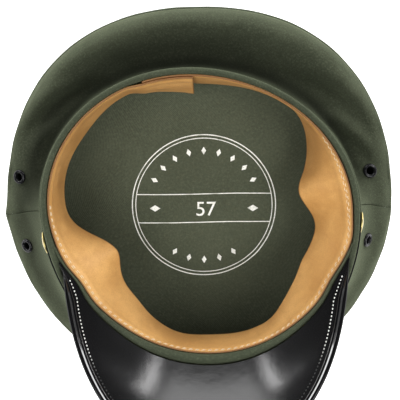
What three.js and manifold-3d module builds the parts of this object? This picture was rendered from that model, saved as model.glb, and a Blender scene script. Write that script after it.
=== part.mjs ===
// Peaked cap, lying upside down on its crown: a stiff round band, a wide flat crown, a leather
// sweatband, a cloth lining, a patent peak and a chin strap held by two side buttons.
// Millimetres, +Z up out of the head opening, the peak towards -Y, the cap's back towards +Y.
//
// Angles run round the cap in degrees, seen from above: 0 is the right side, 90 the back,
// 180 the left side and 270 the front. "Height" is measured square to the tilted plane of the
// head opening: 0 at the band's edge, negative down into the cap.

import * as THREE from "three";
import { mergeVertices } from "three/addons/utils/BufferGeometryUtils.js";
import Module from "manifold-3d";

const wasm = await Module();
wasm.setup();

// ---- driving dimensions -------------------------------------------------------------------

const AROUND = 60; // sections in a full ring
const GAP = 0.3; // clearance between pieces that touch

// the plane of the head opening: higher at the front than at the back
const OPENING_HEIGHT = 82.5;
const OPENING_TILT = THREE.MathUtils.degToRad(11);

// ovals: half sizes and how square each half is (2 is an ellipse)
const BAND_OVAL = { side: 98, back: 86.5, front: 105, backPower: 2, frontPower: 2 };
const ROLL_OVAL = { side: 95.5, back: 78, front: 97, backPower: 2, frontPower: 1.85 };
const LEATHER_OVAL = { side: 94.2, back: 82.5, front: 90.5, backPower: 2, frontPower: 1.9 };
const CROWN_OVAL = { side: 129.9, back: 134.8, front: 134.5, backPower: 2.28, frontPower: 1.8 };
const PRESSED = 2.6; // how far the soft band is pressed out of round along one diagonal
const CROWN_SHIFT = -17.6; // the crown's centre lies this far forward of the opening's centre
const CROWN_FRONT_EASE = 8; // rounds off the front of the crown's outline

const BAND_WALL = 3.2; // cloth over a stiffener
const BAND_HEIGHT = 45;
const BAND_FLARE = 5; // the band is this much wider at the crown than at its edge, each side
const WELT_RADIUS = 0.9;

const CROWN_TOP = 2; // thickness of the flat top
const PIPING_RADIUS = 1.9;
const QUARTER_WALL = 1.6;
const QUARTER_RIM_Z = 5.4; // height at which a quarter meets the rim
const QUARTER_COVE = { side: 1.7, back: 3.8 }; // how steeply the cloth turns up to the band
const QUARTER_SHOULDER = { side: 4, back: 12 }; // height of the soft roll just inside the rim
const SEAM_ANGLE = 0.25; // half the slit between the quarters at a side seam

const LINING_WALL = 0.8;
const LINING_Z = 5.2;
const LINING_CLEAR = 3; // from the outer face of the quarters to the lining's outer face

const LEATHER_WALL = 1.5;
const LEATHER_WIDTH = 44;
const LEATHER_EDGE_HEIGHT = -1;

const PEAK_WALL = 2.2;
const PEAK_SLOPE = Math.tan(THREE.MathUtils.degToRad(31));
const PEAK_OVAL = { x: 2.8, y: -20, side: 88, front: 130, power: 2.2 };
const PEAK_ANGLES = { from: 203, to: 337, sections: 36 };
const PEAK_HORN = 4.2; // width of the peak at its two ends
const PEAK_SEAM_DEPTH = 5; // how deep the peak's inner edge is held between band and roll
const BINDING_WIDTH = 5.2;
const BINDING_THICK = 3.8;

const ROLL_ANGLES = { from: 197, to: 343, sections: 32 };
const ROLL_THICK = 5;

const STRAP_ANGLES = { from: 187, to: 358, sections: 38 };
const STRAP_WIDTH = 13;
const STRAP_THICK = 1.4;
const BUTTON_RADIUS = 7;
const BUTTON_HEIGHT = 2.8;

const EYELET_RADIUS = 4.2;
const EYELET_BARREL = 2.8;
const EYELET_HOLE = 2.2;

// how far the leather's free edge leans in over the head hollow; the ends overlap at the back
const LEATHER_FOLDS = [
  { angle: 92, lean: 9 },
  { angle: 96, lean: 6.5 },
  { angle: 106, lean: 4.2 },
  { angle: 116, lean: 1.5 },
  { angle: 124, lean: -1.5 },
  { angle: 134, lean: -0.5 },
  { angle: 146, lean: 2 },
  { angle: 165, lean: 4 },
  { angle: 176, lean: 5.5 },
  { angle: 183, lean: 8 },
  { angle: 188, lean: 13 },
  { angle: 193, lean: 21 },
  { angle: 199, lean: 26.5 },
  { angle: 206, lean: 27 },
  { angle: 214, lean: 24 },
  { angle: 224, lean: 19 },
  { angle: 235, lean: 14 },
  { angle: 245, lean: 8.5 },
  { angle: 257, lean: 5.2 },
  { angle: 272, lean: 6 },
  { angle: 292, lean: 4.2 },
  { angle: 301, lean: 4.8 },
  { angle: 309, lean: 9 },
  { angle: 318, lean: 14.5 },
  { angle: 328, lean: 17.8 },
  { angle: 345, lean: 19.6 },
  { angle: 354, lean: 22 },
  { angle: 361, lean: 26 },
  { angle: 367, lean: 28 },
  { angle: 373, lean: 26 },
  { angle: 380, lean: 17.5 },
  { angle: 387, lean: 9.5 },
  { angle: 395, lean: 2 },
  { angle: 403, lean: -2 },
  { angle: 415, lean: -1.8 },
  { angle: 435, lean: 0.3 },
  { angle: 452, lean: 1 },
  { angle: 474, lean: -2 },
];
const LEATHER_SECTIONS = 68;
const LEATHER_LIFT = 3; // the overlapping end lies this far inside the end below it

const EYELETS = [
  { name: "eyelet_right_back", angle: 11, across: 0.47 },
  { name: "eyelet_left_back", angle: 168.5, across: 0.54 },
  { name: "eyelet_left_front", angle: 192, across: 0.57 },
  { name: "eyelet_right_front", angle: 348, across: 0.38 },
];
const BUTTONS = [
  { name: "button_left", angle: 192, height: -12.5 },
  { name: "button_right", angle: 353, height: -12.5 },
];

// ---- materials ------------------------------------------------------------------------------

const finish = (color, roughness, metalness) =>
  new THREE.MeshStandardMaterial({ color, roughness, metalness });
const GREEN_CLOTH = 0x4d5340;
const LINING_CLOTH = 0x3a4030;
const TAN_LEATHER = 0xd9a566;
const BLACK_PATENT = 0x0c0c0e;
const BRASS = 0xc9ad62;

// ---- curves and places ------------------------------------------------------------------------

const sinDeg = (angle) => Math.sin(THREE.MathUtils.degToRad(angle));
const cosDeg = (angle) => Math.cos(THREE.MathUtils.degToRad(angle));

// radius of an oval at an angle, with its own back and front halves; the very front is an ellipse
function ovalRadius(oval, angle) {
  const isBack = sinDeg(angle) >= 0;
  const half = isBack ? oval.back : oval.front;
  const nose = isBack ? 0 : Math.pow(sinDeg(angle), 8);
  const power = THREE.MathUtils.lerp(isBack ? oval.backPower : oval.frontPower, 2, nose);
  const side = Math.abs(cosDeg(angle)) / oval.side;
  const end = Math.abs(sinDeg(angle)) / half;
  return Math.pow(Math.pow(side, power) + Math.pow(end, power), -1 / power);
}

const pressedRadius = (oval, angle) => ovalRadius(oval, angle) - PRESSED * sinDeg(2 * angle);
const rollRadius = (angle) => pressedRadius(ROLL_OVAL, angle);
const leatherRadius = (angle) => pressedRadius(LEATHER_OVAL, angle);
const bandRadius = (angle, height) =>
  pressedRadius(BAND_OVAL, angle) + (BAND_FLARE * -height) / BAND_HEIGHT;

function crownRadius(angle) {
  const front = Math.max(0, -sinDeg(angle));
  return ovalRadius(CROWN_OVAL, angle) - CROWN_FRONT_EASE * Math.pow(front, 6);
}

// a point given in the tilted plane of the opening
function inOpening(x, y, height) {
  const tiltedY = y * Math.cos(OPENING_TILT) + height * Math.sin(OPENING_TILT);
  const tiltedZ = height * Math.cos(OPENING_TILT) - y * Math.sin(OPENING_TILT);
  return new THREE.Vector3(x, tiltedY, OPENING_HEIGHT + tiltedZ);
}

const atOpening = (angle, radius, height) =>
  inOpening(radius * cosDeg(angle), radius * sinDeg(angle), height);

const atCrown = (angle, radius, z) =>
  new THREE.Vector3(radius * cosDeg(angle), CROWN_SHIFT + radius * sinDeg(angle), z);

// a smooth curve through the rows of a table, as a function of the angle
function foldLean(angle) {
  const rows = LEATHER_FOLDS;
  let i = 0;
  while (i < rows.length - 2 && rows[i + 1].angle < angle) i += 1;
  const before = rows[Math.max(i - 1, 0)];
  const start = rows[i];
  const end = rows[i + 1];
  const after = rows[Math.min(i + 2, rows.length - 1)];
  const span = end.angle - start.angle;
  const t = (angle - start.angle) / span;
  const startSlope = ((end.lean - before.lean) / (end.angle - before.angle)) * span;
  const endSlope = ((after.lean - start.lean) / (after.angle - start.angle)) * span;
  const t2 = t * t;
  const t3 = t2 * t;
  return (
    start.lean * (2 * t3 - 3 * t2 + 1) +
    startSlope * (t3 - 2 * t2 + t) +
    end.lean * (3 * t2 - 2 * t3) +
    endSlope * (t3 - t2)
  );
}

// ---- making closed bodies -----------------------------------------------------------------------

const steps = (from, to, count) =>
  Array.from({ length: count + 1 }, (_, i) => from + ((to - from) * i) / count);

const ringAngles = () => steps(0, 360, AROUND).slice(0, AROUND);

function weld(geometry) {
  const bare = geometry.clone();
  bare.deleteAttribute("normal");
  bare.deleteAttribute("uv");
  const merged = mergeVertices(bare, 1e-4);
  const index = Array.from(merged.index.array);
  const kept = [];
  for (let i = 0; i < index.length; i += 3) {
    const [a, b, c] = index.slice(i, i + 3);
    if (a !== b && b !== c && c !== a) kept.push(a, b, c);
  }
  merged.setIndex(kept);
  return merged;
}

function signedVolume(geometry) {
  const position = geometry.attributes.position;
  const index = geometry.index.array;
  const corner = [0, 1, 2].map(() => new THREE.Vector3());
  let volume = 0;
  for (let i = 0; i < index.length; i += 3) {
    corner.forEach((point, k) => point.fromBufferAttribute(position, index[i + k]));
    volume += corner[0].dot(corner[1].cross(corner[2])) / 6;
  }
  return volume;
}

// Joins equal polygons, one for each section, into one closed body. A ring's last section joins
// its first. An open run is closed at both ends by a ladder across the polygon, whose first half
// runs along one face and whose second half runs back along the other.
function loft(sections, isRing) {
  const sides = sections[0].length;
  const runs = isRing ? sections.length : sections.length - 1;
  const triangles = [];
  for (let i = 0; i < runs; i += 1) {
    const here = i * sides;
    const next = ((i + 1) % sections.length) * sides;
    for (let j = 0; j < sides; j += 1) {
      const k = (j + 1) % sides;
      triangles.push(here + j, next + j, next + k, here + j, next + k, here + k);
    }
  }
  const last = (sections.length - 1) * sides;
  for (let j = 0; j < sides / 2 - 1 && !isRing; j += 1) {
    const across = sides - 1 - j;
    triangles.push(j, j + 1, across - 1, j, across - 1, across);
    triangles.push(last + j, last + across - 1, last + j + 1);
    triangles.push(last + j, last + across, last + across - 1);
  }
  const geometry = new THREE.BufferGeometry().setFromPoints(sections.flat());
  geometry.setIndex(triangles);
  const welded = weld(geometry);
  if (signedVolume(welded) < 0) welded.setIndex(Array.from(welded.index.array).reverse());
  return welded;
}

const ring = (sections) => loft(sections, true);
const strip = (sections) => loft(sections, false);

// a closed round tube through a ring of centres, with its section in the plane of "outward" and up
function ringTube(centreAt, outwardAt, radius, sides) {
  const sections = ringAngles().map((angle) => {
    const centre = centreAt(angle);
    const outward = outwardAt(angle);
    return steps(0, 360, sides)
      .slice(0, sides)
      .map((turn) =>
        centre
          .clone()
          .addScaledVector(outward, radius * cosDeg(turn))
          .add(new THREE.Vector3(0, 0, radius * sinDeg(turn))),
      );
  });
  return ring(sections);
}

function toManifold(geometry) {
  const welded = weld(geometry);
  const mesh = new wasm.Mesh({
    numProp: 3,
    vertProperties: new Float32Array(welded.attributes.position.array),
    triVerts: new Uint32Array(welded.index.array),
  });
  return new wasm.Manifold(mesh);
}

function fromManifold(body) {
  const mesh = body.getMesh();
  const geometry = new THREE.BufferGeometry();
  geometry.setAttribute("position", new THREE.BufferAttribute(mesh.vertProperties, 3));
  geometry.setIndex(Array.from(mesh.triVerts));
  return geometry;
}

function namedMesh(name, geometry, material) {
  geometry.computeVertexNormals();
  const mesh = new THREE.Mesh(geometry, material);
  mesh.name = name;
  return mesh;
}

// ---- band, its welt and the padded roll ------------------------------------------------------------

function bandGeometry() {
  const sections = ringAngles().map((angle) => {
    const wall = (height, depth) => atOpening(angle, bandRadius(angle, height) - depth, height);
    return [
      wall(0, 0.8),
      wall(-1.2, 0),
      wall(-BAND_HEIGHT, 0),
      wall(-BAND_HEIGHT, BAND_WALL),
      wall(-1.2, BAND_WALL),
      wall(0, BAND_WALL - 0.8),
    ];
  });
  return ring(sections);
}

function weltGeometry() {
  const height = -BAND_HEIGHT - GAP - WELT_RADIUS;
  const centreAt = (angle) => atOpening(angle, bandRadius(angle, height), height);
  const outwardAt = (angle) => new THREE.Vector3(cosDeg(angle), sinDeg(angle), 0);
  return ringTube(centreAt, outwardAt, WELT_RADIUS, 4);
}

function rollGeometry() {
  const { from, to, sections } = ROLL_ANGLES;
  const turns = steps(0, 360, 6).slice(0, 6);
  const rows = steps(from, to, sections).map((angle) => {
    const outer = Math.min(rollRadius(angle), bandRadius(angle, 0) - BAND_WALL - GAP);
    const half = (outer - leatherRadius(angle) - GAP) / 2;
    return turns.map((turn) =>
      atOpening(angle, outer - half + half * cosDeg(turn), (ROLL_THICK / 2) * sinDeg(turn) - 0.6),
    );
  });
  return strip(rows);
}

// ---- crown: flat top, rim piping, two quarters ------------------------------------------------------

function crownTopGeometry() {
  const inset = 2 * PIPING_RADIUS + GAP;
  const outline = ringAngles().map((angle) => {
    const point = atCrown(angle, crownRadius(angle) - inset, 0);
    return new THREE.Vector2(point.x, point.y);
  });
  return new THREE.ExtrudeGeometry(new THREE.Shape(outline), {
    depth: CROWN_TOP,
    bevelEnabled: false,
  });
}

function crownPipingGeometry() {
  const centreAt = (angle) =>
    atCrown(angle, crownRadius(angle) - PIPING_RADIUS, PIPING_RADIUS + GAP);
  const outwardAt = (angle) => new THREE.Vector3(cosDeg(angle), sinDeg(angle), 0);
  return ringTube(centreAt, outwardAt, PIPING_RADIUS, 6);
}

// a point on the quarters' outer face: "across" runs from 0 at the band to 1 at the rim
function quarterFace(angle, across) {
  const seamHeight = -BAND_HEIGHT - 2 * WELT_RADIUS - 2 * GAP;
  const seam = atOpening(angle, bandRadius(angle, seamHeight), seamHeight);
  const rim = atCrown(angle, crownRadius(angle) - 1, QUARTER_RIM_Z);
  const point = seam.clone().lerp(rim, across);
  const back = Math.pow(Math.max(0, sinDeg(angle)), 1.5);
  const coveCurve = THREE.MathUtils.lerp(QUARTER_COVE.side, QUARTER_COVE.back, back);
  const shoulder = THREE.MathUtils.lerp(QUARTER_SHOULDER.side, QUARTER_SHOULDER.back, back);
  const roll = Math.sin(Math.PI * Math.pow(across, 2.4));
  point.z = rim.z + (seam.z - rim.z) * Math.pow(1 - across, coveCurve) + shoulder * roll;
  return point;
}

function quarterNormal(angle, across) {
  const low = Math.max(across - 0.02, 0);
  const high = Math.min(across + 0.02, 1);
  const along = quarterFace(angle + 0.5, across).sub(quarterFace(angle - 0.5, across));
  const outward = quarterFace(angle, high).sub(quarterFace(angle, low));
  return outward.cross(along).normalize();
}

const quarterPoint = (angle, across, depth) =>
  quarterFace(angle, across).addScaledVector(quarterNormal(angle, across), -depth);

function quarterGeometry(from, to) {
  const acrossSteps = [0, 0.12, 0.28, 0.48, 0.68, 0.86, 1];
  const inward = [...acrossSteps].reverse();
  const sections = steps(from + SEAM_ANGLE, to - SEAM_ANGLE, AROUND / 2).map((angle) => [
    ...acrossSteps.map((across) => quarterPoint(angle, across, 0)),
    ...inward.map((across) => quarterPoint(angle, across, QUARTER_WALL)),
  ]);
  let body = toManifold(strip(sections));
  for (const eyelet of EYELETS.filter(({ angle }) => angle > from && angle < to)) {
    const drill = new THREE.CylinderGeometry(EYELET_BARREL + GAP, EYELET_BARREL + GAP, 12, 12);
    drill.applyMatrix4(eyeletPlace(eyelet));
    body = body.subtract(toManifold(drill));
  }
  return fromManifold(body);
}

// the axis of an eyelet, as the Y axis of its own frame, out of the cloth
function eyeletPlace({ angle, across }) {
  const outward = quarterNormal(angle, across);
  const turn = new THREE.Quaternion().setFromUnitVectors(new THREE.Vector3(0, 1, 0), outward);
  return new THREE.Matrix4().compose(quarterFace(angle, across), turn, new THREE.Vector3(1, 1, 1));
}

function eyeletMesh(eyelet) {
  const flangeLow = 0.95;
  const flangeHigh = 1.85;
  const profile = [
    [EYELET_HOLE, -QUARTER_WALL],
    [EYELET_BARREL, -QUARTER_WALL],
    [EYELET_BARREL, flangeLow],
    [EYELET_RADIUS, flangeLow],
    [EYELET_RADIUS - 0.5, flangeHigh],
    [EYELET_HOLE + 0.4, flangeHigh],
    [EYELET_HOLE, -QUARTER_WALL],
  ].map(([radius, height]) => new THREE.Vector2(radius, height));
  const mesh = namedMesh(
    eyelet.name,
    weld(new THREE.LatheGeometry(profile, 12)),
    finish(BLACK_PATENT, 0.3, 0.6),
  );
  eyeletPlace(eyelet).decompose(mesh.position, mesh.quaternion, mesh.scale);
  return mesh;
}

// ---- inside: lining and sweatband -------------------------------------------------------------------

function liningGeometry() {
  const acrossSteps = [0.28, 0.08];
  const face = (angle, clear, z) => {
    const radius = crownRadius(angle);
    const tuck = BAND_WALL + GAP + clear;
    return [
      atCrown(angle, 0, z),
      atCrown(angle, radius - 17, z),
      ...acrossSteps.map((across) => quarterPoint(angle, across, LINING_CLEAR + clear)),
      atOpening(angle, bandRadius(angle, -BAND_HEIGHT) - tuck, -BAND_HEIGHT - 1),
      atOpening(angle, bandRadius(angle, -BAND_HEIGHT + 5) - tuck, -BAND_HEIGHT + 5),
    ];
  };
  const sections = ringAngles().map((angle) => [
    ...face(angle, 0, LINING_Z),
    ...face(angle, LINING_WALL, LINING_Z + LINING_WALL).reverse(),
  ]);
  return ring(sections);
}

function sweatbandGeometry() {
  const first = LEATHER_FOLDS[0].angle;
  const last = LEATHER_FOLDS[LEATHER_FOLDS.length - 1].angle;
  const overlapEnd = last - 360;
  const downSteps = [0, 0.18, 0.42, 0.7, 1];
  const upSteps = [...downSteps].reverse();
  const sections = steps(first, last, LEATHER_SECTIONS).map((angle) => {
    const lean = foldLean(angle);
    const depth = Math.sqrt(LEATHER_WIDTH ** 2 - lean ** 2);
    const lifted = 1 - THREE.MathUtils.smoothstep(angle, overlapEnd, overlapEnd + 8);
    const lift = LEATHER_LIFT * lifted;
    const leather = (down, thick) => {
      const radius = leatherRadius(angle) - lean * Math.pow(down, 1.25) - lift + thick;
      return atOpening(angle, radius, LEATHER_EDGE_HEIGHT - depth * down);
    };
    return [
      ...downSteps.map((down) => leather(down, -LEATHER_WALL)),
      ...upSteps.map((down) => leather(down, 0)),
    ];
  });
  return strip(sections);
}

// ---- peak and its binding ---------------------------------------------------------------------------

// the straight line across the peak at one section: from the band's edge out to the rim, away
// from the middle of the peak's own oval
function peakLine(angle) {
  const innerRadius = rollRadius(angle) + GAP;
  const inner = new THREE.Vector2(innerRadius * cosDeg(angle), innerRadius * sinDeg(angle));
  const outward = inner.clone().sub(new THREE.Vector2(PEAK_OVAL.x, PEAK_OVAL.y));
  const innerReach = outward.length();
  outward.normalize();
  const side = Math.abs(outward.x) / PEAK_OVAL.side;
  const end = Math.abs(outward.y) / PEAK_OVAL.front;
  const rimReach = Math.pow(side ** PEAK_OVAL.power + end ** PEAK_OVAL.power, -1 / PEAK_OVAL.power);
  const width = Math.max(rimReach - innerReach, PEAK_HORN);
  const room = bandRadius(angle, 0) - BAND_WALL - innerRadius - GAP;
  return {
    width,
    binding: Math.min(BINDING_WIDTH, width * 0.5),
    flange: Math.min(PEAK_WALL, room),
    at: (out, height) => {
      const spot = inner.clone().addScaledVector(outward, out);
      return inOpening(spot.x, spot.y, GAP + PEAK_SLOPE * out + height);
    },
  };
}

const peakAngles = () => steps(PEAK_ANGLES.from, PEAK_ANGLES.to, PEAK_ANGLES.sections);

function peakGeometry() {
  const sections = peakAngles().map((angle) => {
    const { at, width, binding, flange } = peakLine(angle);
    const reach = width - binding - GAP;
    const middle = (reach + flange) / 2;
    const foot = -GAP - PEAK_SEAM_DEPTH;
    return [
      at(0, foot),
      at(0, PEAK_WALL),
      at(middle, PEAK_WALL),
      at(reach, PEAK_WALL),
      at(reach, 0),
      at(middle, 0),
      at(flange, 0),
      at(flange, foot - PEAK_SLOPE * flange),
    ];
  });
  return strip(sections);
}

function bindingGeometry() {
  const low = (PEAK_WALL - BINDING_THICK) / 2;
  const high = (PEAK_WALL + BINDING_THICK) / 2;
  const sections = peakAngles().map((angle) => {
    const { at, width, binding } = peakLine(angle);
    const start = width - binding;
    return [
      at(start, low + 0.5),
      at(start + binding * 0.3, low),
      at(width - binding * 0.25, low),
      at(width, low + 1.2),
      at(width, high - 1.2),
      at(width - binding * 0.25, high),
      at(start + binding * 0.3, high),
      at(start, high - 0.5),
    ];
  });
  return strip(sections);
}

// ---- chin strap and side buttons ----------------------------------------------------------------------

function strapGeometry() {
  const { from, to, sections } = STRAP_ANGLES;
  const rows = steps(from, to, sections).map((angle, i) => {
    const part = i / sections;
    const rise = Math.sin(Math.PI * part);
    const top = -6.5 + 4.5 * Math.min(1, rise * 1.6);
    const isEnd = i === 0 || i === sections;
    const trim = isEnd ? STRAP_WIDTH * 0.25 : 0;
    const strap = (height, out) =>
      atOpening(angle, bandRadius(angle, height) + GAP + out, height);
    return [
      strap(top - trim, 0),
      strap(top - trim, STRAP_THICK),
      strap(top - STRAP_WIDTH + trim, STRAP_THICK),
      strap(top - STRAP_WIDTH + trim, 0),
    ];
  });
  return strip(rows);
}

function buttonMesh({ name, angle, height }) {
  const profile = [
    [0, 0],
    [BUTTON_RADIUS - 0.5, 0],
    [BUTTON_RADIUS, 0.5],
    [BUTTON_RADIUS, 0.9],
    [BUTTON_RADIUS * 0.84, 1.8],
    [BUTTON_RADIUS * 0.5, 2.5],
    [0, BUTTON_HEIGHT],
  ].map(([radius, y]) => new THREE.Vector2(radius, y));
  const mesh = namedMesh(name, weld(new THREE.LatheGeometry(profile, 16)), finish(BRASS, 0.3, 1));
  const seat = bandRadius(angle, height) + STRAP_THICK + 4 * GAP;
  const base = atOpening(angle, seat, height);
  const outward = atOpening(angle, seat + 1, height).sub(base).normalize();
  mesh.position.copy(base);
  mesh.quaternion.setFromUnitVectors(new THREE.Vector3(0, 1, 0), outward);
  return mesh;
}

// ---- the whole cap ----------------------------------------------------------------------------------

const cap = new THREE.Group();
const cloth = finish(GREEN_CLOTH, 0.9, 0);
cap.add(namedMesh("crown_top", weld(crownTopGeometry()), cloth.clone()));
cap.add(namedMesh("crown_piping", crownPipingGeometry(), cloth.clone()));
cap.add(namedMesh("quarter_back", quarterGeometry(0, 180), cloth.clone()));
cap.add(namedMesh("quarter_front", quarterGeometry(180, 360), cloth.clone()));
cap.add(namedMesh("band", bandGeometry(), cloth.clone()));
cap.add(namedMesh("band_welt", weltGeometry(), cloth.clone()));
cap.add(namedMesh("edge_roll", rollGeometry(), cloth.clone()));
cap.add(namedMesh("lining", liningGeometry(), finish(LINING_CLOTH, 0.8, 0)));
cap.add(namedMesh("sweatband", sweatbandGeometry(), finish(TAN_LEATHER, 0.5, 0)));
cap.add(namedMesh("peak", peakGeometry(), finish(BLACK_PATENT, 0.35, 0)));
cap.add(namedMesh("peak_binding", bindingGeometry(), finish(BLACK_PATENT, 0.1, 0)));
cap.add(namedMesh("chin_strap", strapGeometry(), finish(BLACK_PATENT, 0.15, 0)));
EYELETS.forEach((eyelet) => cap.add(eyeletMesh(eyelet)));
BUTTONS.forEach((button) => cap.add(buttonMesh(button)));

// the origin is under the middle of the cap's box, on the face it lies on
const box = new THREE.Box3().setFromObject(cap);
const middle = box.getCenter(new THREE.Vector3());
cap.position.set(-middle.x, -middle.y, -box.min.z);

export default cap;
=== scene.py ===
"""Looks of the peaked cap, lying upside down on its crown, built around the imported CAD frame.

Shapes are worked out in millimetres from the same named sizes as the solids, and turned into
metres where each mesh is made. Angles run round the cap in degrees, seen from above: 0 is the
right side, 90 the back, 180 the left side and 270 the front.
"""

import math

import bmesh
import bpy
import numpy as np
from mathutils import Matrix, Vector


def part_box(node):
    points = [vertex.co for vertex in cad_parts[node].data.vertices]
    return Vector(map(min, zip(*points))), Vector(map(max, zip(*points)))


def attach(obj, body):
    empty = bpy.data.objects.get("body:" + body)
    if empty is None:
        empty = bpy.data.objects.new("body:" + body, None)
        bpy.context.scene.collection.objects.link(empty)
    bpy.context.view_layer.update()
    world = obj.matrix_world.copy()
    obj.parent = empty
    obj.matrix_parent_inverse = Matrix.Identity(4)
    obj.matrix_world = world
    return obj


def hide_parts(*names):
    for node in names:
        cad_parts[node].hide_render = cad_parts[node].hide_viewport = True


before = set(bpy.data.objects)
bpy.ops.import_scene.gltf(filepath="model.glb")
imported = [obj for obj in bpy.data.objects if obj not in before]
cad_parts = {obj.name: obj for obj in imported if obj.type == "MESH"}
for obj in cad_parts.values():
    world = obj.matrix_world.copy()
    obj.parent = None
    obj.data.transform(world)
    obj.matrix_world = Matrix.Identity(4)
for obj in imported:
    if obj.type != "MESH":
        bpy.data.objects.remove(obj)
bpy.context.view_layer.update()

MM = 0.001
WELD_DISTANCE = 1e-6
SEED = 57

# ---- sizes in mm, as in part.mjs, apart from those fitted to the photograph later ----

OPENING_HEIGHT = 82.5
OPENING_TILT = math.radians(11)
BAND_OVAL = dict(side=98, back=85.6, front=105, back_power=2, front_power=2)
ROLL_OVAL = dict(side=95.5, back=78, front=97, back_power=2, front_power=1.85)
LEATHER_OVAL = dict(side=94.2, back=81.6, front=90.5, back_power=2, front_power=1.9)
CROWN_OVAL = dict(side=129.9, back=134.8, front=134.5, back_power=2.28, front_power=1.8)
PRESSED = 2.6
CROWN_SHIFT = -17.6
CROWN_FRONT_EASE = 8
CROWN_TOP_INSET = 4.1
BAND_HEIGHT = 45
BAND_FLARE = 5
BAND_FLARE_BACK = 1.6
QUARTER_RIM_Z = 4.7
QUARTER_COVE = 1.7  # how hollow the cloth runs down from the seam
QUARTER_SHOULDER = 4  # how high it swells near the rim
QUARTER_THICK = 1.4
EYELET_HOLE = 2.9
SEAM_HEIGHT = -47.4
LEATHER_WIDTH = 44
LEATHER_LIFT = 3
PEAK_SLOPE = math.tan(math.radians(31))
PEAK_OVAL = dict(x=2.8, y=-20, side=88, front=130, power=2.2)
PEAK_ANGLES = (200.6, 339.8)
SEAM_TURN = 1.2  # the side seams lie this many degrees in front of the middle
PEAK_HORN = 4.2  # width of the peak near its two ends
# angle, and height from the opening's edge
BUTTONS = {"button_left": (192, -12.5), "button_right": (353, -12.5)}
# angle, and part of the way from the seam ring to the rim
EYELETS = {
    "eyelet_right_back": (10.3, 0.484),
    "eyelet_left_back": (169.4, 0.69),
    "eyelet_left_front": (192, 0.645),
    "eyelet_right_front": (346.8, 0.41),
}
# how far the leather's free edge leans in over the hollow, by angle
LEATHER_FOLDS = np.array([
    (92, 5.2), (97, 3.8), (103, 2.6), (110, 1.2), (116, 0.8), (124, 1.0), (134, 1.6), (146, 2.8),
    (165, 4), (176, 5.5), (183, 7.2), (188, 11.2), (193, 18.2), (199, 25.2), (206, 27.2), (214, 23),
    (224, 18), (235, 14), (245, 8.5), (257, 5.2), (272, 6), (292, 4.2), (301, 4.8), (309, 9),
    (318, 13.5), (328, 16.5), (345, 18.6), (353, 20), (359, 25.5), (365, 29), (371, 27),
    (379, 17.5), (387, 9), (395, 2), (403, -2.4), (415, -2.8), (425, -1.8), (435, 0), (452, 1),
    (474, -2),
], float)


# ---- curves ----

def sind(a):
    return np.sin(np.radians(a))


def cosd(a):
    return np.cos(np.radians(a))


def smoothstep(x, low, high):
    t = np.clip((np.asarray(x, float) - low) / (high - low), 0, 1)
    return t * t * (3 - 2 * t)


def window(x, low, full, fading, gone):
    """0 outside low to gone, 1 between full and fading."""
    return smoothstep(x, low, full) * (1 - smoothstep(x, fading, gone))


def bell(x, spread):
    return np.exp(-((x / spread) ** 2))


def oval_radius(oval, a):
    s, c = sind(a), cosd(a)
    back = s >= 0
    half = np.where(back, oval["back"], oval["front"])
    power = np.where(back, oval["back_power"], oval["front_power"])
    power = power + (2 - power) * np.where(back, 0, s**8)
    return ((np.abs(c) / oval["side"]) ** power + (np.abs(s) / half) ** power) ** (-1 / power)


def pressed(oval, a):
    return oval_radius(oval, a) - PRESSED * sind(2 * np.asarray(a, float))


def band_radius(a, h):
    flare = BAND_FLARE + (BAND_FLARE_BACK - BAND_FLARE) * np.maximum(0, sind(a)) ** 1.2
    return pressed(BAND_OVAL, a) - flare * np.asarray(h, float) / BAND_HEIGHT


def bend(a, centre, spread):
    """A soft bump of height 1 at one angle."""
    return bell((np.asarray(a, float) - centre + 180) % 360 - 180, spread)


def leather_radius(a):
    right = 1.3 * bend(a, 347, 6)
    return pressed(LEATHER_OVAL, a) + right - 1.6 * bend(a, 330, 7) - 1.9 * bend(a, 211, 7)


def roll_radius(a):
    right = 0.8 * bend(a, 347, 6)
    return pressed(ROLL_OVAL, a) + right - 1.6 * bend(a, 330, 7) - 2.3 * bend(a, 210, 7)


def crown_radius(a):
    # the cloth is drawn out to a blunt corner at the left side seam
    corner = 2.3 * np.exp(-np.abs((np.asarray(a, float) % 360) - 181) / 5.5)
    return oval_radius(CROWN_OVAL, a) - CROWN_FRONT_EASE * np.maximum(0, -sind(a)) ** 6 + corner


# the solids are centred on their own box, so the whole cap is moved this far along Y
CROWN_BACK = CROWN_SHIFT + float(crown_radius(90)) - CROWN_TOP_INSET
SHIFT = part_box("crown_top")[1].y / MM - CROWN_BACK


def turns_of(count):
    """So many angles, evenly round the circle."""
    return np.arange(count) * 360 / count


def grid(x, y):
    return np.meshgrid(x, y, indexing="ij")


def stack(x, y, z):
    x, y, z = np.broadcast_arrays(x, y, z)
    return np.stack([x, y, z], axis=-1).astype(float)


def in_opening(x, y, h):
    ct, st = math.cos(OPENING_TILT), math.sin(OPENING_TILT)
    return stack(x, y * ct + h * st + SHIFT, OPENING_HEIGHT + h * ct - y * st)


def at_opening(a, r, h):
    return in_opening(r * cosd(a), r * sind(a), h)


def at_crown(a, r, z):
    return stack(r * cosd(a), CROWN_SHIFT + SHIFT + r * sind(a), z)


def unit(v):
    return v / (np.linalg.norm(v, axis=-1, keepdims=True) + 1e-12)


def mix(a, b, t):
    return a + (b - a) * t


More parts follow.
